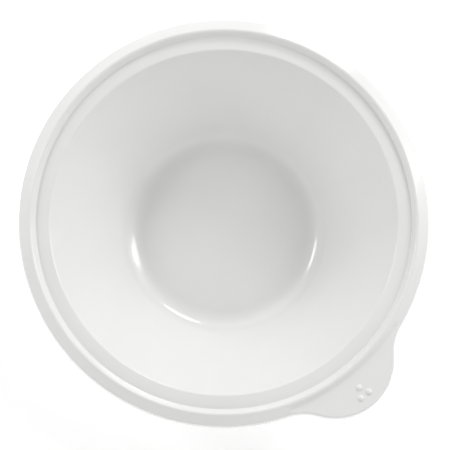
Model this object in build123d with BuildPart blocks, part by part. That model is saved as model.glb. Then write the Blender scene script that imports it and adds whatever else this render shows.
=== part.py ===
"""Round hospital bedpan, one white moulding with a thumb tab, split into its natural regions.

The origin lies on the pan's axis in the plane the foot ring stands on. +Z is up and the tab points along -Y.
Every region is a solid of its own that meets its neighbours face to face, and all of them are one rigid body.
"""

import os
from math import atan2, cos, degrees, radians, sin, sqrt, tan

from build123d import *

# Overall size, in millimetres
rim_radius = 160.0
height = 86.0
wall = 2.5

# Well: a shallow dished floor that bends up into the seat wall
bend_centre_radius = 64.0
bend_round = 26.0
dish_angle = 2.5
wall_angle = 51.0

# Ledge for a lid or a liner's flange, and the step up to the rim
ledge_drop = 5.0
ledge_inner_radius = 135.0
ledge_edge_round = 2.0
step_angle = 58.0
step_corner_round = 1.0

# Rim: a raised crest, a band sloping outwards and a drafted skirt
crest_radius = 150.0
crest_round = 2.0
band_angle = 24.0
skirt_drop = 13.0
skirt_draft = 8.0
skirt_edge_round = 1.6
skirt_inset = 3.6

# Thumb tab: a round tip blended into the rim's outline
tab_radius = 46.5
tab_centre_y = -137.1
tab_blend = 40.0
tab_half_angle = 21.0
tab_root_angle = 40.0
tab_root_round = 2.0

# Three domes on the tab, one towards the pan and two away from it
dome_centre_y = -170.2
dome_pitch = 8.0
dome_diameter = 5.2
dome_height = 1.3

# Foot ring under the floor
foot_outer_radius = 64.5
foot_width = 3.0
foot_edge_round = 0.8

# Heights and radii that follow from the dimensions above
bend_seam = bend_centre_radius + bend_round * sin(radians(wall_angle))
floor_seam = bend_centre_radius + bend_round * sin(radians(dish_angle))
ledge_z = height - ledge_drop
bend_top_z = ledge_z - (ledge_inner_radius - bend_seam) * tan(radians(wall_angle))
bend_centre_z = bend_top_z + bend_round * cos(radians(wall_angle))
dish_round = bend_centre_radius / sin(radians(dish_angle)) + bend_round
dish_centre_z = bend_centre_z + (dish_round - bend_round) * cos(radians(dish_angle))

crest_lean = (step_angle - band_angle) / 2
crest_reach = crest_round / cos(radians((step_angle + band_angle) / 2))
crest_corner_radius = crest_radius - crest_reach * sin(radians(crest_lean))
crest_corner_z = height - crest_round + crest_reach * cos(radians(crest_lean))
step_foot_radius = crest_corner_radius - (crest_corner_z - ledge_z) / tan(radians(step_angle))

skirt_seam = rim_radius - skirt_inset
ledge_seam = ledge_inner_radius - 2.0
crest_seam = 144.0
band_seam = 151.0
tab_seam = 155.4
band_seam_z = crest_corner_z - (band_seam - crest_corner_radius) * tan(radians(band_angle))
tab_z = crest_corner_z - (skirt_seam - crest_corner_radius) * tan(radians(band_angle))
skirt_foot_z = height - skirt_drop

# Where the blends between rim and tab are centred, and the angles at which they touch
blend_to_rim = rim_radius + tab_blend
blend_to_tab = tab_radius + tab_blend
blend_y = (blend_to_rim**2 - blend_to_tab**2 + tab_centre_y**2) / (2 * tab_centre_y)
blend_x = sqrt(blend_to_rim**2 - blend_y**2)
blend_rim_angle = degrees(atan2(-blend_y, blend_x))
blend_tab_angle = degrees(atan2(tab_centre_y - blend_y, blend_x))


# Cross-section of the skin: its upper face from the axis out past the skirt seam, thickened downwards
with BuildSketch(Plane.XZ) as section:
    with BuildLine():
        with BuildLine() as upper_face:
            CenterArc((0, dish_centre_z), dish_round, -90, dish_angle)
            CenterArc((bend_centre_radius, bend_centre_z), bend_round, dish_angle - 90, wall_angle - dish_angle)
            Polyline(
                (bend_seam, bend_top_z),
                (ledge_inner_radius, ledge_z),
                (step_foot_radius, ledge_z),
                (crest_corner_radius, crest_corner_z),
                (rim_radius, crest_corner_z - (rim_radius - crest_corner_radius) * tan(radians(band_angle))),
            )
            corners = upper_face.vertices().sort_by(Axis.X)[3:6]
            for corner, radius in zip(corners, (ledge_edge_round, step_corner_round, crest_round)):
                fillet(corner, radius)
        offset(amount=-wall, side=Side.RIGHT)
    make_face()


def skin_between(inner_radius, outer_radius):
    """Draw the piece of the skin's cross-section that lies between two radii."""
    add(section.sketch_local)
    with Locations(((inner_radius + outer_radius) / 2, 0)):
        Rectangle(outer_radius - inner_radius, 3 * height, mode=Mode.INTERSECT)


# Outline of the skirt's foot: the rim's circle, the tab's tip and the two blends between them
with BuildSketch() as outline:
    with BuildLine():
        CenterArc((0, 0), rim_radius, -blend_rim_angle, 180 + 2 * blend_rim_angle)
        CenterArc((-blend_x, blend_y), tab_blend, blend_rim_angle, blend_tab_angle - blend_rim_angle)
        CenterArc((0, tab_centre_y), tab_radius, 180 + blend_tab_angle, 180 - 2 * blend_tab_angle)
        CenterArc((blend_x, blend_y), tab_blend, 180 - blend_tab_angle, blend_tab_angle - blend_rim_angle)
    make_face()


def tab_sector():
    """Draw the sector of the rim that the tab takes up."""
    reach = 1.3 * rim_radius
    side, front = reach * sin(radians(tab_half_angle)), -reach * cos(radians(tab_half_angle))
    Polygon((0, 0), (-side, front), (side, front), align=None)


# Foot ring: stands on the floor and ends against the underside of the dish
with BuildPart() as foot_ring:
    with BuildSketch(Plane.XZ):
        with Locations((foot_outer_radius - foot_width / 2, height / 20)):
            Rectangle(foot_width, height / 10)
        fillet(vertices().group_by(Axis.Y)[0], foot_edge_round)
        with Locations((0, dish_centre_z)):
            Circle(dish_round + wall, mode=Mode.SUBTRACT)
    revolve(axis=Axis.Z)

# Well: dished floor and the round bend up into the seat wall
with BuildPart() as well_floor:
    with BuildSketch(Plane.XZ):
        skin_between(0, floor_seam)
    revolve(axis=Axis.Z)

with BuildPart() as well_bend:
    with BuildSketch(Plane.XZ):
        skin_between(floor_seam, bend_seam)
    revolve(axis=Axis.Z)

# Conical seat wall
with BuildPart() as seat_wall:
    with BuildSketch(Plane.XZ):
        skin_between(bend_seam, ledge_seam)
    revolve(axis=Axis.Z)

# Flat ledge with its rounded inner edge
with BuildPart() as lid_ledge:
    with BuildSketch(Plane.XZ):
        skin_between(ledge_seam, crest_seam)
    revolve(axis=Axis.Z)

# Step and raised crest
with BuildPart() as rim_crest:
    with BuildSketch(Plane.XZ):
        skin_between(crest_seam, band_seam)
    revolve(axis=Axis.Z)

# Sloping band, open where the tab is
with BuildPart() as rim_band:
    with BuildSketch(Plane.XZ):
        skin_between(band_seam, skirt_seam)
    revolve(axis=Axis.Z)
    with BuildSketch():
        tab_sector()
    extrude(amount=height, mode=Mode.SUBTRACT)

# Drafted skirt, open where the tab is
with BuildPart() as rim_skirt:
    with BuildSketch(Plane.XY.offset(skirt_foot_z)):
        add(outline.sketch_local)
    extrude(amount=tab_z - skirt_foot_z, taper=skirt_draft)
    fillet(edges().group_by(Axis.Z)[-1], skirt_edge_round)
    with BuildSketch(Plane.XY.offset(skirt_foot_z)):
        offset(outline.sketch_local, amount=-wall)
    extrude(amount=tab_z - wall - skirt_foot_z, taper=skirt_draft, mode=Mode.SUBTRACT)
    with BuildSketch(Plane.XY.offset(skirt_foot_z)):
        offset(outline.sketch_local, amount=-skirt_inset)
    extrude(amount=height, mode=Mode.SUBTRACT)
    with BuildSketch():
        tab_sector()
    extrude(amount=height, mode=Mode.SUBTRACT)

# Root of the tab: drops from the crest to the tab's level
with BuildPart() as tab_root:
    with BuildSketch(Plane.XZ):
        with BuildLine():
            root_foot_radius = band_seam + (band_seam_z - tab_z) / tan(radians(tab_root_angle))
            root_top = Polyline((band_seam, band_seam_z), (root_foot_radius, tab_z), (tab_seam, tab_z))
            fillet(root_top.vertices().sort_by(Axis.X)[1], tab_root_round)
            Polyline(
                (tab_seam, tab_z),
                (tab_seam, tab_z - wall),
                (root_foot_radius - wall / 2, tab_z - wall),
                (band_seam, band_seam_z - wall),
                (band_seam, band_seam_z),
            )
        make_face()
    revolve(axis=Axis.Z)
    with BuildSketch():
        tab_sector()
    extrude(amount=height, mode=Mode.INTERSECT)

# Flat of the tab
with BuildPart() as tab_plate:
    with BuildSketch(Plane.XY.offset(tab_z - wall)):
        offset(outline.sketch_local, amount=-skirt_inset)
        Circle(tab_seam, mode=Mode.SUBTRACT)
    extrude(amount=wall)
    with BuildSketch():
        tab_sector()
    extrude(amount=height, mode=Mode.INTERSECT)

# Lip round the tab: the skirt carried on round its edge
with BuildPart() as tab_lip:
    with BuildSketch(Plane.XY.offset(skirt_foot_z)):
        add(outline.sketch_local)
    extrude(amount=tab_z - skirt_foot_z, taper=skirt_draft)
    fillet(edges().group_by(Axis.Z)[-1], skirt_edge_round)
    with BuildSketch(Plane.XY.offset(skirt_foot_z)):
        offset(outline.sketch_local, amount=-wall)
    extrude(amount=tab_z - wall - skirt_foot_z, taper=skirt_draft, mode=Mode.SUBTRACT)
    with BuildSketch(Plane.XY.offset(skirt_foot_z)):
        offset(outline.sketch_local, amount=-skirt_inset)
    extrude(amount=height, mode=Mode.SUBTRACT)
    with BuildSketch():
        tab_sector()
    extrude(amount=height, mode=Mode.INTERSECT)

# Three equal domes on the tab
dome_round = ((dome_diameter / 2) ** 2 + dome_height**2) / (2 * dome_height)
with BuildPart() as grip_domes:
    with Locations((0, dome_centre_y, tab_z + dome_height - dome_round)):
        with PolarLocations(dome_pitch / sqrt(3), 3, start_angle=90):
            Sphere(dome_round)
    split(bisect_by=Plane.XY.offset(tab_z), keep=Keep.TOP)

# Name every region and write it out
os.makedirs("parts", exist_ok=True)
regions = {
    "foot_ring": foot_ring,
    "well_floor": well_floor,
    "well_bend": well_bend,
    "seat_wall": seat_wall,
    "lid_ledge": lid_ledge,
    "rim_crest": rim_crest,
    "rim_band": rim_band,
    "rim_skirt": rim_skirt,
    "tab_root": tab_root,
    "tab_plate": tab_plate,
    "tab_lip": tab_lip,
    "grip_domes": grip_domes,
}
for name, region in regions.items():
    region.part.label = name
    export_step(region.part, f"parts/{name}.step")
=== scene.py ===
"""The look of a round hospital bedpan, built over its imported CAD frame.

The pan is one thin moulded skin. It is worked out here as one surface of two parameters: the angle round the pan's
axis, and the way along the cross-section from the middle of the well, over the rim, round the foot of the skirt and
back underneath. Each moulded region is a stretch of that surface, closed by walls where it meets its neighbours, so
the regions share their edges and normals and read as one moulding. Lengths are in metres.
"""

import logging
import math
from dataclasses import dataclass, field
from enum import Enum

import bpy
import numpy as np
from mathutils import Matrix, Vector


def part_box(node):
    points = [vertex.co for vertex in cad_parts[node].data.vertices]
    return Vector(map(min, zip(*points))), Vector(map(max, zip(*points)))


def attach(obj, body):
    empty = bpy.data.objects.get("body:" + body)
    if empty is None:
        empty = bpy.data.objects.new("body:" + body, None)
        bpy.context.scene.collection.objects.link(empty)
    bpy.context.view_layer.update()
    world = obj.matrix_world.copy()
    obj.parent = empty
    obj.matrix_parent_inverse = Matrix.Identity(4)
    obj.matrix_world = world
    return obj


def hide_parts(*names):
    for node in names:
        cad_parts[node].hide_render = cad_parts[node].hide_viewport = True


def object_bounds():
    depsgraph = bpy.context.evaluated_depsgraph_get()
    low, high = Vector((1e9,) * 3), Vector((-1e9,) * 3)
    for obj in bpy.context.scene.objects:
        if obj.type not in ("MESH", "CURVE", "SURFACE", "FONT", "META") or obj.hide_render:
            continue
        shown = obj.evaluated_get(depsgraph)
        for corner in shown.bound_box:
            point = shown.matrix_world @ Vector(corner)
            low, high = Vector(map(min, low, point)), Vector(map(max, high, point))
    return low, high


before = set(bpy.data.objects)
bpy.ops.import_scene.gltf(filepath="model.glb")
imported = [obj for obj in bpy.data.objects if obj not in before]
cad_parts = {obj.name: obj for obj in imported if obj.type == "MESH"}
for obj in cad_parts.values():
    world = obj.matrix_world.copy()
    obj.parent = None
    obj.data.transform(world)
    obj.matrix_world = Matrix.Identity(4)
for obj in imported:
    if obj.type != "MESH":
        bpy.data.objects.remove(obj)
CAD_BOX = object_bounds()

LOG = logging.getLogger("bedpan")
MM = 0.001
BODY = "root"


class Span(Enum):
    """How far round the pan a moulded region goes."""

    ALL_ROUND = "all round"
    TAB = "the tab's sector"
    RIM = "all but the tab's sector"


# ---------------------------------------------------------------- curves and meshes


def arc(centre: tuple[float, float], radius: float, start: float, end: float, count: int) -> np.ndarray:
    """Points on a circular arc: the centre plus the radius along (cos, sin) of an angle that runs evenly.

    Args:
        centre: the circle's centre.
        radius: the circle's radius.
        start: first angle in degrees.
        end: last angle in degrees.
        count: how many points.

    Returns:
        An array of shape (count, 2).
    """
    angle = np.radians(np.linspace(start, end, count))
    return np.stack([centre[0] + radius * np.cos(angle), centre[1] + radius * np.sin(angle)], axis=-1)


def rounded_path(corners: np.ndarray, radii: list[float], counts: list[int]) -> np.ndarray:
    """A polyline with its inner corners rounded, for one column or for many at once.

    At each corner the arc's centre lies along the bisector, the radius over the cosine of half the turn away. The
    arc's points are that centre plus the radius along a direction that turns evenly from the first run's normal to
    the next run's.

    Args:
        corners: array (corner, ..., 2); the axes between the first and the last are columns.
        radii: rounding radius of each inner corner.
        counts: number of points on each inner corner's arc.

    Returns:
        An array (point, ..., 2) from the first corner to the last.
    """
    rows = [corners[:1]]
    for i, (radius, count) in enumerate(zip(radii, counts), start=1):
        before, after = corners[i] - corners[i - 1], corners[i + 1] - corners[i]
        heading = np.arctan2(before[..., 1], before[..., 0])
        turn = np.arctan2(after[..., 1], after[..., 0]) - heading
        turn = (turn + np.pi) % (2 * np.pi) - np.pi
        side = np.sign(turn) * np.pi / 2
        bisector = heading + turn / 2 + side
        reach = (radius / np.cos(turn / 2))[..., None]
        centre = corners[i] + reach * np.stack([np.cos(bisector), np.sin(bisector)], axis=-1)
        share = np.linspace(0.0, 1.0, count).reshape((count,) + (1,) * turn.ndim)
        angle = heading + share * turn - side
        rows.append(centre + radius * np.stack([np.cos(angle), np.sin(angle)], axis=-1))
    rows.append(corners[-1:])
    return np.concatenate(rows)


def offset_corners(corners: np.ndarray, distance: float) -> np.ndarray:
    """The corners of a polyline moved to its right by a distance.

    An inner corner moves by the distance times the sum of its two normals over one plus their dot product.

    Args:
        corners: array (corner, 2).
        distance: how far the runs move.

    Returns:
        The moved corners, in the same order.
    """
    run = np.diff(corners, axis=0)
    normal = np.stack([run[:, 1], -run[:, 0]], axis=-1) / np.linalg.norm(run, axis=1, keepdims=True)
    first, last = np.vstack([normal[:1], normal]), np.vstack([normal, normal[-1:]])
    dot = (first * last).sum(axis=1, keepdims=True)
    return corners + distance * (first + last) / (1 + dot)


def smoothstep(value: np.ndarray) -> np.ndarray:
    """Three times the square minus twice the cube of a value held between 0 and 1."""
    held = np.clip(value, 0.0, 1.0)
    return held * held * (3 - 2 * held)


def unit(vectors: np.ndarray) -> np.ndarray:
    """Vectors brought to length 1."""
    return vectors / np.maximum(np.linalg.norm(vectors, axis=-1, keepdims=True), 1e-12)


@dataclass
class Shell:
    """A closed mesh as whole arrays: points, faces in groups of equal corner count, and a normal for every corner."""

    points: np.ndarray
    faces: list[np.ndarray]
    normals: list[np.ndarray]

    @classmethod
    def from_grid(
        cls, points: np.ndarray, normals: np.ndarray, walls: np.ndarray, caps: np.ndarray | None
    ) -> "Shell":
        """Closes a grid of rows and columns into a shell.

        Where the first row is one point, so is the last, and a fan of triangles closes each pole. Otherwise the last
        row joins the first. Without caps the last column joins the first, and with them a flat face closes each end.

        Args:
            points: array (row, column, 3), whose rows crossed with its columns point outwards.
            normals: array (row, column, 3).
            walls: numbers of the rows after which the surface steps to the next row by a flat wall.
            caps: the outward normals of the first and the last column's caps, or nothing for a full turn.

        Returns:
            The shell.
        """
        count, wide = points.shape[:2]
        poles = bool(np.ptp(points[0], axis=0).max() < 1e-9)
        index = np.arange(count * wide).reshape(count, wide)
        flat = points.reshape(-1, 3)
        if poles:
            last = (count - 2) * wide + 1
            index = np.vstack([np.zeros(wide, int), index[1:-1] - wide + 1, np.full(wide, last)])
            flat = np.concatenate([points[0, :1], flat[wide:-wide], points[-1, :1]])
        row = np.arange(1, count - 2) if poles else np.arange(count)
        column = np.arange(wide if caps is None else wide - 1)
        beside = (column + 1) % wide
        r, c = (axis.ravel() for axis in np.meshgrid(row, column, indexing="ij"))
        rows = np.stack([r, (r + 1) % count, (r + 1) % count, r], -1)
        columns = np.stack([c, c, (c + 1) % wide, (c + 1) % wide], -1)
        faces, shades = [index[rows, columns]], [normals[rows, columns]]
        wall = np.isin(r, walls)
        corner = flat[faces[0][wall]]
        level = unit(np.cross(corner[:, 2] - corner[:, 0], corner[:, 3] - corner[:, 1]))
        shades[0][wall] = level[:, None]
        for fan in ((0, 1, 1), (count - 2, count - 1, count - 2)) if poles else ():
            fan_columns = np.stack([column, column, beside], -1)
            faces.append(index[np.array(fan), fan_columns])
            shades.append(normals[np.array(fan), fan_columns])
        if caps is not None:
            faces += [index[::-1, 0][None], index[:, -1][None]]
            shades += [np.broadcast_to(caps[0], (1, count, 3)), np.broadcast_to(caps[1], (1, count, 3))]
        return cls(flat, faces, shades)

    def repeated(self, centres: np.ndarray) -> "Shell":
        """Copies the shell to each plan position: its points plus the position, its faces counted on.

        Args:
            centres: array (centre, 2).

        Returns:
            One shell of all the copies.
        """
        shift = np.concatenate([centres, np.zeros((len(centres), 1))], axis=1)
        count_on = (np.arange(len(centres)) * len(self.points))[:, None, None]
        return Shell(
            (self.points[None] + shift[:, None]).reshape(-1, 3),
            [(group[None] + count_on).reshape(-1, group.shape[1]) for group in self.faces],
            [np.tile(group, (len(centres), 1, 1)) for group in self.normals],
        )

    def to_object(self, name: str) -> bpy.types.Object:
        """Puts the arrays into a new mesh object at the origin and links it to the scene.

        Args:
            name: the piece's name.

        Returns:
            The new object.
        """
        corners = np.concatenate([np.full(len(group), group.shape[1]) for group in self.faces])
        mesh = bpy.data.meshes.new(name)
        mesh.vertices.add(len(self.points))
        mesh.vertices.foreach_set("co", self.points.astype(np.float32).ravel())
        mesh.loops.add(int(corners.sum()))
        mesh.loops.foreach_set("vertex_index", np.concatenate([g.ravel() for g in self.faces]).astype(np.int32))
        mesh.polygons.add(len(corners))
        mesh.polygons.foreach_set("loop_start", (np.cumsum(corners) - corners).astype(np.int32))
        mesh.polygons.foreach_set("use_smooth", np.ones(len(corners), dtype=bool))
        mesh.update(calc_edges=True)
        mesh.normals_split_custom_set(np.concatenate([n.reshape(-1, 3) for n in self.normals]).astype(np.float32))
        piece = bpy.data.objects.new(name, mesh)
        bpy.context.scene.collection.objects.link(piece)
        return piece


def swing(rows: np.ndarray, phi: np.ndarray) -> np.ndarray:
    """Turns rows of (radius, height) about Z: (r sin phi, -r cos phi, z), so phi runs from the tab's direction.

    Args:
        rows: array (row, 2).
        phi: array (column,) of angles in radians.

    Returns:
        An array (row, column, 3).
    """
    r, z = rows[:, 0, None], np.broadcast_to(rows[:, 1, None], (len(rows), len(phi)))
    return np.stack([r * np.sin(phi), -r * np.cos(phi), z], axis=-1)


def turned_shell(profile: np.ndarray, columns: int) -> Shell:
    """A shell turned about Z from a profile that runs outwards over the top and back underneath.

    The normal at each point is the difference of the points each side, turned a quarter. At a pole it is vertical.

    Args:
        profile: array (point, 2) of radius and height, from pole to pole or a loop clear of the axis.
        columns: steps round the axis.

    Returns:
        The shell.
    """
    phi = np.arange(columns) * 2 * np.pi / columns
    along = np.roll(profile, -1, axis=0) - np.roll(profile, 1, axis=0)
    if profile[0, 0] == 0.0:
        along[0], along[-1] = (1.0, 0.0), (-1.0, 0.0)
    slant = unit(np.stack([-along[:, 1], along[:, 0]], axis=-1))
    return Shell.from_grid(swing(profile, phi), swing(slant, phi), np.array([], int), None)


# ---------------------------------------------------------------- the pan's sizes


@dataclass(frozen=True)
class PanSizes:
    """Sizes of the pan. Places come from the boxes of its CAD regions, roundings and angles from the moulding."""

    wall: float = 2.5 * MM
    dish_angle: float = 2.5
    wall_angle: float = 51.0
    step_angle: float = 58.0
    band_angle: float = 24.0
    skirt_draft: float = 8.0
    bend_round: float = 26.0 * MM
    crest_round: float = 2.0 * MM
    crest_setback: float = 1.0 * MM
    skirt_edge_round: float = 1.6 * MM
    skirt_foot_round: float = 0.9 * MM
    skirt_inset: float = 3.6 * MM
    tab_round: float = 46.5 * MM
    tab_blend: float = 40.0 * MM
    tab_half_angle: float = 21.0
    rim_radius: float = field(default_factory=lambda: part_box("rim_skirt")[1].x)
    tab_tip: float = field(default_factory=lambda: -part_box("tab_lip")[0].y)
    height: float = field(default_factory=lambda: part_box("rim_crest")[1].z)
    ledge_z: float = field(default_factory=lambda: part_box("lid_ledge")[1].z)
    tab_z: float = field(default_factory=lambda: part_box("tab_plate")[1].z)
    skirt_foot_z: float = field(default_factory=lambda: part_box("rim_skirt")[0].z)
    floor_seam: float = field(default_factory=lambda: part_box("well_floor")[1].x)
    bend_seam: float = field(default_factory=lambda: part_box("well_bend")[1].x)
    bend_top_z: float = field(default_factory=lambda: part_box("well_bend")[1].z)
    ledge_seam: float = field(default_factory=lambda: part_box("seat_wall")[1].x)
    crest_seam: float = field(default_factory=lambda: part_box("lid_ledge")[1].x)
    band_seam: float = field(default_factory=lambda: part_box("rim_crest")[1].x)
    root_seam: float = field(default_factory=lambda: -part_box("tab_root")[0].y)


# ---------------------------------------------------------------- the cross-section that is turned


@dataclass(frozen=True)
class TurnedSection:
    """The part of the skin's cross-section that is the same all round: floor, bend, seat wall, ledge and crest."""

    sizes: PanSizes
    ledge_overhang: float = 2.0 * MM
    band_reach: float = 6.0 * MM
    floor_points: int = 26
    bend_points: int = 34
    corner_points: tuple[int, int, int] = (11, 9, 21)
    wall_points: int = 14
    seam_gap: float = 0.04 * MM
    bend_gap: float = 2.0 * MM

    def corners(self) -> np.ndarray:
        """The unrounded corners from the top of the bend to past the crest.

        The crest's corner stands off its rounding's centre by the radius over the cosine of half the turn.

        Returns:
            An array (corner, 2) of radius and height.
        """
        s = self.sizes
        step, band = math.radians(s.step_angle), math.radians(s.band_angle)
        reach, lean = s.crest_round / math.cos((step + band) / 2), (step - band) / 2
        crest_r = s.band_seam - s.crest_setback - reach * math.sin(lean)
        crest_z = s.height - s.crest_round + reach * math.cos(lean)
        return np.array(
            [
                (s.bend_seam, s.bend_top_z),
                (s.ledge_seam + self.ledge_overhang, s.ledge_z),
                (crest_r - (crest_z - s.ledge_z) / math.tan(step), s.ledge_z),
                (crest_r, crest_z),
                (crest_r + self.band_reach, crest_z - self.band_reach * math.tan(band)),
            ]
        )

    def face(self, depth: float, roundings: tuple[float, float, float]) -> np.ndarray:
        """One face of the skin, from the axis outwards, a given depth under the upper face.

        The floor is a wide arc centred on the axis and the bend is a small arc inside it that it touches.

        Args:
            depth: 0 for the upper face, the wall's thickness for the underside.
            roundings: radii at the ledge's edge, the foot of the step and the crest.

        Returns:
            An array (point, 2) of radius and height, its radius growing.
        """
        s = self.sizes
        tilt, slope = math.radians(s.dish_angle), math.radians(s.wall_angle)
        bend_r = s.bend_seam - s.bend_round * math.sin(slope)
        bend_z = s.bend_top_z + s.bend_round * math.cos(slope)
        inner = bend_r / math.sin(tilt)
        bend_depth, floor_z = s.bend_round + depth, bend_z + inner * math.cos(tilt)
        floor = arc((0.0, floor_z), inner + bend_depth, -90, s.dish_angle - 90, self.floor_points)
        bend = arc((bend_r, bend_z), bend_depth, s.dish_angle - 90, s.wall_angle - 90, self.bend_points)
        rest = rounded_path(offset_corners(self.corners(), depth), list(roundings), list(self.corner_points))
        return np.vstack([floor[:-1], bend[:-1], rest])

    def rows(self, depth: float, roundings: tuple[float, float, float]) -> np.ndarray:
        """A face's points with rows added at every seam and along the seat wall, out to the crest's outer seam.

        A point nearer to a seam than the seam gap gives way to it, and the wall's rows start past the bend's gap.

        Args:
            depth: 0 for the upper face, the wall's thickness for the underside.
            roundings: radii at the ledge's edge, the foot of the step and the crest.

        Returns:
            An array (row, 2) of radius and height.
        """
        s = self.sizes
        path = self.face(depth, roundings)
        path[0, 0] = 0.0
        seams = np.array([s.floor_seam, s.bend_seam, s.ledge_seam, s.crest_seam, s.band_seam])
        along = np.linspace(s.bend_seam, s.ledge_seam, self.wall_points)[1:-1]
        own = path[np.abs(path[:, :1] - seams).min(axis=1) > self.seam_gap, 0]
        along = along[along > s.bend_seam + self.bend_gap]
        radius = np.sort(np.concatenate([own[own < s.band_seam], along, seams]))
        return np.stack([radius, np.interp(radius, path[:, 0], path[:, 1])], axis=-1)


# ---------------------------------------------------------------- the outline of rim and tab


@dataclass(frozen=True)
class Outline:
    """The plan outline of the skirt's foot: the rim's circle, the tab's round tip and a hollow blend on each side."""

    sizes: PanSizes

    def points(self, phi: np.ndarray) -> tuple[np.ndarray, np.ndarray]:
        """Where each column meets the outline, and the outline's outward normal there.

        A column is a ray from the pan's axis at an angle phi from the tab. On the tip it meets the tab's circle on
        its far side, on a blend the blend's circle on its near side, and elsewhere the rim's circle. A blend's
        centre is the rim's radius plus its own from the pan's axis and the tab's plus its own from the tab's centre,
        so the circles touch.

        Args:
            phi: column angles in radians, -pi to pi.

        Returns:
            Two arrays (column, 2) in plan.
        """
        s = self.sizes
        ray = np.stack([np.sin(phi), -np.cos(phi)], axis=-1)
        tab_y, to_rim, to_tab = s.tab_tip - s.tab_round, s.rim_radius + s.tab_blend, s.tab_round + s.tab_blend
        blend_y = (to_rim**2 - to_tab**2 + tab_y**2) / (2 * tab_y)
        blend_x = math.sqrt(to_rim**2 - blend_y**2)
        rim_end = math.atan2(blend_x, blend_y)
        touch = s.tab_round / to_tab
        tip_end = math.atan2(blend_x * touch, tab_y + (blend_y - tab_y) * touch)
        on_tip, on_rim = np.abs(phi) <= tip_end, np.abs(phi) >= rim_end
        blend_centre = np.stack([np.sign(phi) * blend_x, np.full_like(phi, -blend_y)], axis=-1)
        centre = np.where(on_tip[:, None], (0.0, -tab_y), blend_centre)
        radius = np.where(on_tip, s.tab_round, s.tab_blend)
        far = np.where(on_tip, 1.0, -1.0)
        along = (ray * centre).sum(axis=1)
        chord = np.sqrt(np.maximum(radius**2 - (centre**2).sum(axis=1) + along**2, 0.0))
        reach = np.where(on_rim, s.rim_radius, along + far * chord)
        place = ray * reach[:, None]
        normal = unit((place - centre) * far[:, None])
        return place, np.where(on_rim[:, None], ray, normal)


# ---------------------------------------------------------------- the whole skin as one surface


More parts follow.
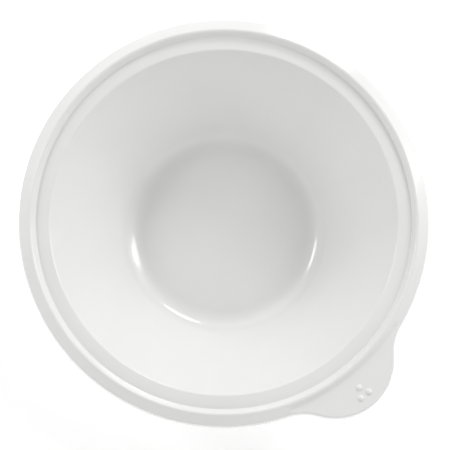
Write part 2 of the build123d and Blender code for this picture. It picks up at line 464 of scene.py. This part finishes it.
@dataclass
class Skin:
    """The pan's whole skin as one grid of rows by columns, from the axis over the rim and back underneath."""

    sizes: PanSizes
    columns: int = 720
    strip_points: int = 12
    tab_root_run: float = 4.0 * MM
    tab_fade: tuple[float, float] = (18.5, 21.0)
    inner_corner_round: float = 0.8 * MM
    rim_corner_points: tuple[int, int, int, int] = (15, 9, 9, 9)
    upper_rounds: tuple[float, float, float] = (2.0 * MM, 1.0 * MM, 2.0 * MM)
    under_rounds: tuple[float, float, float] = (0.6 * MM, 3.5 * MM, 0.6 * MM)
    phi: np.ndarray = field(init=False)
    points: np.ndarray = field(init=False)
    normals: np.ndarray = field(init=False)
    marks: dict[str, int] = field(init=False)

    def __post_init__(self) -> None:
        """Works out the grid, its seams and its normals."""
        s = self.sizes
        section = TurnedSection(s)
        self.phi = np.radians(np.arange(self.columns) * 360 / self.columns - 180)
        over = section.rows(0.0, self.upper_rounds)
        under = section.rows(s.wall, self.under_rounds)[::-1]
        middle, self.marks = self.rim_rows(len(over) - 1)
        self.points = np.concatenate([swing(over, self.phi), middle, swing(under, self.phi)])
        last = len(self.points) - 1
        self.marks |= {"pole": 0, "under_pole": last, "band": len(over) - 1, "under_band": last - len(under) + 1}
        seams = {"floor": s.floor_seam, "bend": s.bend_seam, "ledge": s.ledge_seam, "crest": s.crest_seam}
        for name, seam in seams.items():
            self.marks[name] = int(np.argmin(np.abs(over[:, 0] - seam)))
            self.marks["under_" + name] = self.marks["under_band"] + int(np.argmin(np.abs(under[:, 0] - seam)))
        self.normals = self.grid_normals()

    def rim_rows(self, first: int) -> tuple[np.ndarray, dict[str, int]]:
        """Rows outside the crest: the band or the tab's root, the tab's flat, the skirt, and the same underneath.

        On the rim the band falls at its own slope. At the tab it falls by a cubic that starts with the band's slope
        and ends level at the tab's height, and the one fades into the other with a smoothstep of the angle. Past the
        root seam the height runs straight to the skirt's start. The underside is the upper face lowered by the wall
        over the cosine of its slope.

        Args:
            first: the number of the crest's outer row, which these rows follow.

        Returns:
            An array (row, column, 3), and the numbers of the seam rows in the whole grid.
        """
        s = self.sizes
        fade_in, fade_out = self.tab_fade
        tab = smoothstep((fade_out - np.abs(np.degrees(self.phi))) / (fade_out - fade_in))
        band_angle = math.radians(s.band_angle)
        fall = math.tan(band_angle)
        band_z = s.height - s.crest_round + s.crest_round / math.cos(band_angle) - s.crest_setback * fall
        radius = np.linspace(s.band_seam, s.root_seam, self.strip_points)
        share = np.clip((radius - s.band_seam) / self.tab_root_run, 0, 1)[:, None]
        drop, lead = band_z - s.tab_z, fall * self.tab_root_run
        root_z = s.tab_z + drop * (2 * share**3 - 3 * share**2 + 1) - lead * (share**3 - 2 * share**2 + share)
        z = (1 - tab) * (band_z - (radius - s.band_seam)[:, None] * fall) + tab * root_z
        thick = s.wall * np.hypot(1.0, np.gradient(z, radius, axis=0))
        ray = np.stack([np.sin(self.phi), -np.cos(self.phi)], axis=-1)
        strip = np.concatenate([radius[:, None, None] * ray, z[..., None]], axis=-1)
        place, normal = Outline(s).points(self.phi)
        edge = place - s.skirt_inset * normal
        slope = (z[-1] - s.tab_z) / np.linalg.norm(edge - s.root_seam * ray, axis=1)
        skirt = self.skirt_rows(edge, normal, slope)
        level = np.linspace(0, 1, self.strip_points)[1:, None, None]
        flat = strip[-1] + level * (skirt[0] - strip[-1])
        down = np.array([0.0, 0.0, 1.0])
        under_root = strip[-1] - (s.wall * np.hypot(1.0, slope))[:, None] * down
        under_flat = skirt[-1] + level * (under_root - skirt[-1])
        under_strip = (strip - thick[..., None] * down)[-2:0:-1]
        root = first + self.strip_points - 1
        lip = root + self.strip_points - 1
        last_skirt = lip + len(skirt) - 1
        marks = {
            "root": root,
            "lip": lip,
            "under_lip": last_skirt - 1 - self.rim_corner_points[-1] // 2,
            "under_root": last_skirt + self.strip_points - 1,
        }
        return np.concatenate([strip[1:], flat, skirt[1:], under_flat, under_strip]), marks

    def skirt_rows(self, edge: np.ndarray, normal: np.ndarray, slope: np.ndarray) -> np.ndarray:
        """Rows round the skirt, over its upper edge, down its face, round its foot and up its inner face.

        The corners are in (distance along the outline's normal, height): the face leans in by the tangent of its
        draft, and the inner face is the same line a wall's thickness further in. Both end on the arriving skin.

        Args:
            edge: array (column, 2), where the skirt starts in plan.
            normal: array (column, 2), the outline's outward normal.
            slope: array (column,), how steeply the arriving skin falls.

        Returns:
            An array (row, column, 3).
        """
        s = self.sizes
        lean = math.tan(math.radians(s.skirt_draft))
        rise = np.full_like(slope, s.tab_z - s.skirt_foot_z)
        under = rise - s.wall * np.hypot(1.0, slope)
        outer = (s.skirt_inset - rise * lean) / (1 - slope * lean)
        inner = (s.skirt_inset - s.wall - under * lean) / (1 - slope * lean)
        none, back = np.zeros_like(slope), -self.inner_corner_round
        corners = [
            (none, rise),
            (outer, rise - outer * slope),
            (none + s.skirt_inset, none),
            (none + s.skirt_inset - s.wall, none),
            (inner, under - inner * slope),
            (none + back, under - back * slope),
        ]
        rounds = [s.skirt_edge_round, s.skirt_foot_round, s.skirt_foot_round, self.inner_corner_round]
        path = rounded_path(np.stack([np.stack(c, axis=-1) for c in corners]), rounds, list(self.rim_corner_points))
        plan = edge + path[..., :1] * normal
        return np.concatenate([plan, s.skirt_foot_z + path[..., 1:]], axis=-1)

    def grid_normals(self) -> np.ndarray:
        """Normals of the whole grid: the difference of the rows each side, crossed with that of the columns.

        Returns:
            An array (row, column, 3), straight up and straight down at the two poles.
        """
        along = np.empty_like(self.points)
        along[1:-1] = self.points[2:] - self.points[:-2]
        along[0], along[-1] = along[1], along[-2]
        around = np.roll(self.points, -1, axis=1) - np.roll(self.points, 1, axis=1)
        normals = unit(np.cross(along, around))
        normals[0], normals[-1] = (0, 0, 1), (0, 0, -1)
        return normals

    def span_columns(self, span: Span) -> np.ndarray:
        """Column numbers of a span, in order round the pan."""
        middle = self.columns // 2
        half = round(self.sizes.tab_half_angle * self.columns / 360)
        if span is Span.TAB:
            return np.arange(middle - half, middle + half + 1)
        if span is Span.RIM:
            return np.arange(middle + half, middle - half + self.columns + 1) % self.columns
        return np.arange(self.columns)

    def region(self, runs: list[tuple[str, str]], span: Span) -> Shell:
        """Cuts one region out of the skin, closed by flat walls where it meets its neighbours.

        Args:
            runs: the first and the last seam of each run of rows, in order.
            span: how far round it goes.

        Returns:
            The region as a closed shell.
        """
        bounds = [(self.marks[first], self.marks[last]) for first, last in runs]
        rows = np.concatenate([np.arange(first, last + 1) for first, last in bounds])
        walls = np.cumsum([last - first + 1 for first, last in bounds]) - 1
        columns = self.span_columns(span)
        caps = None
        if span is not Span.ALL_ROUND:
            ends = self.phi[columns[[0, -1]]]
            caps = np.stack([np.cos(ends), np.sin(ends), 0 * ends], axis=-1) * [[-1], [1]]
        grid = np.ix_(rows, columns)
        return Shell.from_grid(self.points[grid], self.normals[grid], walls, caps)


# ---------------------------------------------------------------- finishes


def linear_colour(code: str) -> tuple[float, float, float, float]:
    """Turns an sRGB hex colour into linear RGBA, channel by channel with the sRGB curve."""
    channels = [int(code[i : i + 2], 16) / 255 for i in (1, 3, 5)]
    red, green, blue = (c / 12.92 if c <= 0.04045 else ((c + 0.055) / 1.055) ** 2.4 for c in channels)
    return red, green, blue, 1.0


def add_node(tree: bpy.types.NodeTree, kind: str, inputs: dict | None = None, **settings: object) -> bpy.types.Node:
    """Adds a node with its settings and inputs.

    Args:
        tree: the node tree.
        kind: the node's type name.
        inputs: values by input name or number. A socket of another node is linked, and anything else is set.
        **settings: the node's own properties.

    Returns:
        The new node.
    """
    node = tree.nodes.new(kind)
    for name, value in settings.items():
        setattr(node, name, value)
    for key, value in (inputs or {}).items():
        if isinstance(value, bpy.types.NodeSocket):
            tree.links.new(value, node.inputs[key])
        else:
            node.inputs[key].default_value = value
    return node


@dataclass(frozen=True)
class MouldedPolypropylene:
    """White polypropylene, injection moulded in a polished tool.

    The eye sees a hard, even gloss over a bright white body: sharp highlights on the small roundings, a slight
    orange peel and slow sink ripples that make long reflections waver, faint scuffs where hands and shelves rub,
    and a duller face underneath, where the tool is only stoned, with the foot rubbed grey. A pair of peaks or
    clouds holds the noise values where that mark starts and where it is full.
    """

    name: str = "white_polypropylene_moulded_gloss"
    clean: str = "#E9E9E8"
    worn: str = "#E0E0DE"
    ior: float = 1.49
    gloss: float = 0.12
    clouded: float = 0.15
    scuffed: float = 0.20
    stoned: float = 0.36
    cloud_pitch: float = 60.0 * MM
    peel_pitch: float = 2.6 * MM
    peel_height: float = 0.0022 * MM
    sink_pitch: float = 28.0 * MM
    sink_height: float = 0.030 * MM
    scuff_width: float = 0.9 * MM
    scuff_length: float = 32.0 * MM
    foot_wear_height: float = 1.4 * MM
    noise_detail: tuple[float, float, float] = (3.0, 1.0, 0.0)
    scuff_turns: tuple[float, float] = (24.0, -51.0)
    scuff_peaks: tuple[float, float] = (0.62, 0.74)
    scuff_clouds: tuple[float, float] = (0.42, 0.66)
    gloss_clouds: tuple[float, float] = (0.35, 0.7)
    worn_clouds: tuple[float, float] = (0.4, 0.75)
    worn_share: float = 0.3
    facing_down: tuple[float, float] = (-0.02, -0.12)

    def scuffs(self, tree: bpy.types.NodeTree, place: bpy.types.NodeSocket, turn: float) -> bpy.types.NodeSocket:
        """Long thin rubs in one direction: noise drawn out along a turned axis, of which only the peaks show.

        Args:
            tree: the material's tree.
            place: Object coordinates.
            turn: the direction of the rubs in degrees.

        Returns:
            The strength of the rubs, 0 to 1.
        """
        across, along = 1 / self.scuff_width, 1 / self.scuff_length
        mapping = add_node(tree, "ShaderNodeMapping", {"Vector": place, "Scale": (across, along, along)})
        mapping.inputs["Rotation"].default_value = (0.0, 0.0, math.radians(turn))
        noise = add_node(tree, "ShaderNodeTexNoise", {"Vector": mapping.outputs[0], "Scale": 1.0, "Detail": 2.0})
        return self.ramp(tree, noise.outputs["Fac"], *self.scuff_peaks)

    @staticmethod
    def ramp(tree: bpy.types.NodeTree, value: bpy.types.NodeSocket, low: float, high: float) -> bpy.types.NodeSocket:
        """A value mapped to 0 at low and 1 at high, held at both ends."""
        return add_node(tree, "ShaderNodeMapRange", {"Value": value, "From Min": low, "From Max": high}).outputs[0]

    @staticmethod
    def mix(
        tree: bpy.types.NodeTree, share: bpy.types.NodeSocket, first: object, last: object
    ) -> bpy.types.NodeSocket:
        """Two numbers mixed: the first where the share is 0 and the last where it is 1."""
        return add_node(tree, "ShaderNodeMix", {0: share, 2: first, 3: last}, data_type="FLOAT").outputs[0]

    def material(self) -> bpy.types.Material:
        """Builds the node material on Object coordinates.

        Returns:
            The material, with one Principled shader.
        """
        material = bpy.data.materials.new(self.name)
        material.use_nodes = True
        tree = material.node_tree
        tree.nodes.clear()
        place = add_node(tree, "ShaderNodeTexCoord").outputs["Object"]
        normal = add_node(tree, "ShaderNodeNewGeometry").outputs["Normal"]
        facing = add_node(tree, "ShaderNodeSeparateXYZ", {0: normal})
        spot = add_node(tree, "ShaderNodeSeparateXYZ", {0: place})
        pitches = (self.cloud_pitch, self.peel_pitch, self.sink_pitch)
        cloud, peel, sink = (
            add_node(
                tree, "ShaderNodeTexNoise", {"Vector": place, "Scale": 1 / pitch, "Detail": detail}
            ).outputs["Fac"]
            for pitch, detail in zip(pitches, self.noise_detail)
        )
        under = self.ramp(tree, facing.outputs["Z"], *self.facing_down)
        foot = self.ramp(tree, spot.outputs["Z"], self.foot_wear_height, 0.0)
        rubs = add_node(
            tree,
            "ShaderNodeMath",
            {socket: self.scuffs(tree, place, turn) for socket, turn in enumerate(self.scuff_turns)},
            operation="MAXIMUM",
        ).outputs[0]
        rubbed = add_node(
            tree, "ShaderNodeMath", {0: rubs, 1: self.ramp(tree, cloud, *self.scuff_clouds)}, operation="MULTIPLY"
        ).outputs[0]
        gloss = self.mix(tree, self.ramp(tree, cloud, *self.gloss_clouds), self.gloss, self.clouded)
        roughness = self.mix(tree, under, self.mix(tree, rubbed, gloss, self.scuffed), self.stoned)
        dull = add_node(
            tree,
            "ShaderNodeMath",
            {0: foot, 1: self.mix(tree, self.ramp(tree, cloud, *self.worn_clouds), 0.0, self.worn_share)},
            operation="MAXIMUM",
        ).outputs[0]
        colour = add_node(
            tree,
            "ShaderNodeMix",
            {0: dull, 6: linear_colour(self.clean), 7: linear_colour(self.worn)},
            data_type="RGBA",
        ).outputs[2]
        peel_bump = add_node(tree, "ShaderNodeBump", {"Height": peel, "Distance": self.peel_height})
        sink_bump = add_node(
            tree, "ShaderNodeBump", {"Height": sink, "Distance": self.sink_height, "Normal": peel_bump.outputs[0]}
        )
        shader = add_node(
            tree,
            "ShaderNodeBsdfPrincipled",
            {"Base Color": colour, "Roughness": roughness, "IOR": self.ior, "Normal": sink_bump.outputs[0]},
        )
        add_node(tree, "ShaderNodeOutputMaterial", {"Surface": shader.outputs[0]})
        return material


@dataclass(frozen=True)
class PaintedFloor:
    """Studio floor board painted matt white, lit from below so that no shadow is left on it."""

    name: str = "white_matt_painted_board"
    colour: str = "#F6F6F6"
    roughness: float = 0.9
    ior: float = 1.3
    glow: float = 0.36

    def material(self) -> bpy.types.Material:
        """Builds the floor's material, a matt white with its glow."""
        material = bpy.data.materials.new(self.name)
        material.use_nodes = True
        tree = material.node_tree
        tree.nodes.clear()
        shader = add_node(tree, "ShaderNodeBsdfPrincipled", {"Roughness": self.roughness, "IOR": self.ior})
        for socket in ("Base Color", "Emission Color"):
            shader.inputs[socket].default_value = linear_colour(self.colour)
        shader.inputs["Emission Strength"].default_value = self.glow
        add_node(tree, "ShaderNodeOutputMaterial", {"Surface": shader.outputs[0]})
        return material


# ---------------------------------------------------------------- sub-assemblies


@dataclass
class Moulding:
    """What the pan's sub-assemblies share: the skin they are cut from, the finish and the pieces made so far."""

    skin: Skin
    finish: bpy.types.Material
    pieces: dict[str, bpy.types.Object] = field(default_factory=dict)

    def add(self, node: str, shell: Shell) -> None:
        """Makes the piece that stands for a CAD node.

        Args:
            node: the CAD node's name.
            shell: the piece's mesh as arrays.
        """
        piece = shell.to_object("moulded_" + node)
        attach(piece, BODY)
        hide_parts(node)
        self.pieces[node] = piece

    def dress(self) -> None:
        """Gives every piece its finish and logs it."""
        for piece in self.pieces.values():
            piece.data.materials.append(self.finish)
            LOG.info("%s: %d faces", piece.name, len(piece.data.polygons))


@dataclass
class Well(Moulding):
    """The well: dished floor, the bend round it, the seat wall, and the foot ring that the floor stands on.

    The foot ring's top is sunk in the floor and laps past its flare, so no gap shows where they meet.
    """

    foot_width: float = 3.0 * MM
    foot_edge_round: float = 0.8 * MM
    foot_flare: float = 1.0 * MM
    foot_sunk: float = 0.3 * MM
    foot_lap: float = 0.2 * MM
    foot_lift: float = 0.02 * MM
    foot_arc_points: int = 8
    foot_columns: int = 360

    def build(self) -> None:
        """Builds the well's four pieces."""
        whole = Span.ALL_ROUND
        self.add("well_floor", self.skin.region([("pole", "floor"), ("under_floor", "under_pole")], whole))
        self.add("well_bend", self.skin.region([("floor", "bend"), ("under_bend", "under_floor")], whole))
        self.add("seat_wall", self.skin.region([("bend", "ledge"), ("under_ledge", "under_bend")], whole))
        self.add("foot_ring", turned_shell(self.foot_profile(), self.foot_columns))

    def foot_profile(self) -> np.ndarray:
        """The foot ring's cross-section, flared into the floor's underside and rounded where it stands.

        Returns:
            An array (point, 2), a loop whose top is sunk in the floor.
        """
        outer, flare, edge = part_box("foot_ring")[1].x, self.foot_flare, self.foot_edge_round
        inner = outer - self.foot_width
        under = TurnedSection(self.skin.sizes).rows(self.skin.sizes.wall, self.skin.under_rounds)
        top_in, top_out = np.interp([inner - flare, outer + flare], under[:, 0], under[:, 1])
        lap_in, lap_out, count = inner - flare - self.foot_lap, outer + flare + self.foot_lap, self.foot_arc_points
        return np.vstack(
            [
                [(lap_in, top_in + self.foot_sunk), (lap_out, top_out + self.foot_sunk)],
                [(lap_out, top_out + self.foot_lift)],
                arc((outer + flare, top_out - flare), flare, 90, 180, count),
                arc((outer - edge, edge), edge, 0, -90, count),
                arc((inner + edge, edge), edge, -90, -180, count),
                arc((inner - flare, top_in - flare), flare, 0, 90, count),
                [(lap_in, top_in + self.foot_lift)],
            ]
        )


@dataclass
class Rim(Moulding):
    """The rim: the ledge for a lid, the crest, the band that slopes outwards and the skirt."""

    def build(self) -> None:
        """Builds the rim's four pieces."""
        skin = self.skin
        self.add("lid_ledge", skin.region([("ledge", "crest"), ("under_crest", "under_ledge")], Span.ALL_ROUND))
        self.add("rim_crest", skin.region([("crest", "band"), ("under_band", "under_crest")], Span.ALL_ROUND))
        self.add("rim_band", skin.region([("band", "lip"), ("under_lip", "under_band")], Span.RIM))
        self.add("rim_skirt", skin.region([("lip", "under_lip")], Span.RIM))


@dataclass
class ThumbTab(Moulding):
    """The thumb tab: its root, its flat, the lip round it and three grip domes, sunk a little in the flat."""

    dome_diameter: float = 5.2 * MM
    dome_foot_round: float = 0.35 * MM
    dome_sunk: float = 0.3 * MM
    dome_lap: float = 0.1 * MM
    dome_lower: float = 0.01 * MM
    dome_arc_points: tuple[int, int] = (12, 6)
    dome_columns: int = 48

    def build(self) -> None:
        """Builds the tab's four pieces."""
        skin = self.skin
        self.add("tab_root", skin.region([("band", "root"), ("under_root", "under_band")], Span.TAB))
        self.add("tab_plate", skin.region([("root", "lip"), ("under_lip", "under_root")], Span.TAB))
        self.add("tab_lip", skin.region([("lip", "under_lip")], Span.TAB))
        self.add("grip_domes", turned_shell(self.dome_profile(), self.dome_columns).repeated(self.dome_centres()))

    def dome_profile(self) -> np.ndarray:
        """One dome's profile: a cap of a sphere that a small hollow rounding leads into the tab.

        The cap's radius is half its chord squared plus its height squared, over twice its height. The rounding's
        centre stands its own radius above the tab and outside the sphere.

        Returns:
            An array (point, 2), from the top pole to the sunk underside's pole.
        """
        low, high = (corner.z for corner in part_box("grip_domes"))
        rise, half, foot = high - low, self.dome_diameter / 2, self.dome_foot_round
        ball = (half**2 + rise**2) / (2 * rise)
        lift = foot - (rise - ball)
        reach = math.sqrt((ball + foot) ** 2 - lift**2)
        angle = math.degrees(math.atan2(lift, reach))
        cap_points, foot_points = self.dome_arc_points
        edge, bottom = reach + self.dome_lap, low - self.dome_sunk
        profile = np.vstack(
            [
                arc((0.0, high - ball), ball, 90, angle, cap_points),
                arc((reach, low + foot), foot, 180 + angle, 270, foot_points)[1:],
                [(edge, low - self.dome_lower), (edge, bottom), (0.0, bottom)],
            ]
        )
        profile[0, 0] = 0.0
        return profile

    def dome_centres(self) -> np.ndarray:
        """Centres of the three domes: the corners of an equal triangle, one corner towards the pan."""
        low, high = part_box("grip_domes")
        half = self.dome_diameter / 2
        near, far, side = high.y - half, low.y + half, high.x - half
        return np.array([(0.0, near), (-side, far), (side, far)])


# ---------------------------------------------------------------- studio


def towards(azimuth: float, elevation: float) -> Vector:
    """The direction to a compass angle (from +X towards +Y) and a height above the horizon, both in degrees."""
    turn, lift = math.radians(azimuth), math.radians(elevation)
    return Vector((math.cos(turn) * math.cos(lift), math.sin(turn) * math.cos(lift), math.sin(lift)))


@dataclass(frozen=True)
class SoftBox:
    """One soft light: where it hangs as seen from the pan, how large it is and how strong."""

    name: str
    azimuth: float
    elevation: float
    distance: float
    width: float
    height: float
    watts: float

    def hang(self, target: Vector) -> None:
        """Makes the light and turns it to the target.

        Args:
            target: the point it faces.
        """
        away = towards(self.azimuth, self.elevation)
        lamp = bpy.data.lights.new(self.name, "AREA")
        lamp.shape = "ELLIPSE"
        lamp.size, lamp.size_y, lamp.energy = self.width, self.height, self.watts
        light = bpy.data.objects.new(self.name, lamp)
        light.location = target + away * self.distance
        light.rotation_euler = away.to_track_quat("Z", "Y").to_euler()
        light.visible_camera = False
        bpy.context.scene.collection.objects.link(light)


@dataclass(frozen=True)
class LightTent:
    """A white cloth tent round the table, lit from outside by lamps that each make a wide soft patch of light on it.

    A patch is as bright as e to the power of its sharpness times (the cosine of the angle from its middle, less
    one), times its strength. Each is given as azimuth, elevation and strength.
    """

    patches: tuple[tuple[float, float, float], ...] = (
        (351.0, 30.0, 2.4),
        (351.0, 14.0, 0.4),
        (51.0, 14.0, 1.35),
        (51.0, 30.0, 0.4),
        (81.0, 30.0, 1.4),
        (111.0, 30.0, 0.8),
        (141.0, 14.0, 0.75),
        (141.0, 30.0, 0.5),
        (171.0, 14.0, 0.35),
        (171.0, 30.0, 0.95),
        (201.0, 30.0, 0.75),
        (231.0, 30.0, 1.05),
        (261.0, 30.0, 1.15),
        (291.0, 14.0, 1.0),
        (321.0, 30.0, 0.3),
    )
    sharpness: float = 16.0
    cloth: str = "#FFFFFF"

    def pitch(self) -> None:
        """Builds the tent as the world: the sum of all patches."""
        world = bpy.data.worlds.new("light_tent")
        world.use_nodes = True
        tree = world.node_tree
        tree.nodes.clear()
        direction = add_node(tree, "ShaderNodeTexCoord").outputs["Generated"]
        total: object = 0.0
        for azimuth, elevation, strength in self.patches:
            middle = tuple(towards(azimuth, elevation))
            facing = add_node(tree, "ShaderNodeVectorMath", {0: direction, 1: middle}, operation="DOT_PRODUCT")
            power = add_node(
                tree,
                "ShaderNodeMath",
                {0: facing.outputs["Value"], 1: self.sharpness, 2: -self.sharpness},
                operation="MULTIPLY_ADD",
            )
            patch = add_node(tree, "ShaderNodeMath", {0: power.outputs[0]}, operation="EXPONENT")
            total = add_node(
                tree, "ShaderNodeMath", {0: patch.outputs[0], 1: strength, 2: total}, operation="MULTIPLY_ADD"
            ).outputs[0]
        light = add_node(tree, "ShaderNodeBackground", {"Color": linear_colour(self.cloth), "Strength": total})
        add_node(tree, "ShaderNodeOutputWorld", {"Surface": light.outputs[0]})
        bpy.context.scene.world = world


@dataclass
class Studio:
    """The plain studio: a pale floor, the soft lights, the white tent and the camera."""

    boxes: tuple[SoftBox, ...] = (
        SoftBox("softbox_right", -14.0, 43.0, 2.2, 0.50, 0.95, 10.0),
        SoftBox("softbox_left", 117.0, 40.0, 2.2, 0.60, 0.32, 6.0),
        SoftBox("softbox_back", 28.5, 27.0, 2.2, 0.75, 0.34, 8.0),
    )
    tent: LightTent = LightTent()
    floor_half: float = 6.0
    camera_azimuth: float = -128.56
    camera_elevation: float = 82.63
    camera_distance: float = 1.25
    camera_target: tuple[float, float, float] = (-1.619 * MM, -3.428 * MM, 80.0 * MM)
    focal_length: float = 129.0
    sensor_width: float = 36.0
    clip_near: float = 0.05
    clip_far: float = 50.0

    def build(self) -> None:
        """Builds the floor, the lights, the tent and the camera."""
        self.lay_floor()
        target = (CAD_BOX[0] + CAD_BOX[1]) / 2
        for box in self.boxes:
            box.hang(target)
        self.tent.pitch()
        bpy.context.scene.view_settings.view_transform = "Standard"
        self.set_camera()

    def lay_floor(self) -> None:
        """Lays the floor: one large square at the height the pan stands on."""
        half = self.floor_half
        corners = [(-half, -half, 0.0), (half, -half, 0.0), (half, half, 0.0), (-half, half, 0.0)]
        mesh = bpy.data.meshes.new("studio_floor")
        mesh.from_pydata(corners, [], [(0, 1, 2, 3)])
        mesh.materials.append(PaintedFloor().material())
        floor = bpy.data.objects.new("studio_floor", mesh)
        bpy.context.scene.collection.objects.link(floor)

    def set_camera(self) -> None:
        """Stands the camera nearly overhead, on the side of the tab, and turns it to the pan."""
        back = towards(self.camera_azimuth, self.camera_elevation)
        lens = bpy.data.cameras.new("studio_camera")
        lens.lens, lens.sensor_width = self.focal_length, self.sensor_width
        lens.clip_start, lens.clip_end = self.clip_near, self.clip_far
        camera = bpy.data.objects.new("studio_camera", lens)
        camera.location = Vector(self.camera_target) + back * self.camera_distance
        camera.rotation_euler = (-back).to_track_quat("-Z", "Y").to_euler()
        bpy.context.scene.collection.objects.link(camera)
        bpy.context.scene.camera = camera


def main() -> None:
    """Builds the studio and the pan's sub-assemblies in order, and reports each piece."""
    logging.basicConfig(level=logging.INFO, format="%(name)s: %(message)s")
    Studio().build()
    skin = Skin(PanSizes())
    finish = MouldedPolypropylene().material()
    for assembly in (Well(skin, finish), Rim(skin, finish), ThumbTab(skin, finish)):
        assembly.build()
        assembly.dress()


if __name__ == "__main__":
    main()
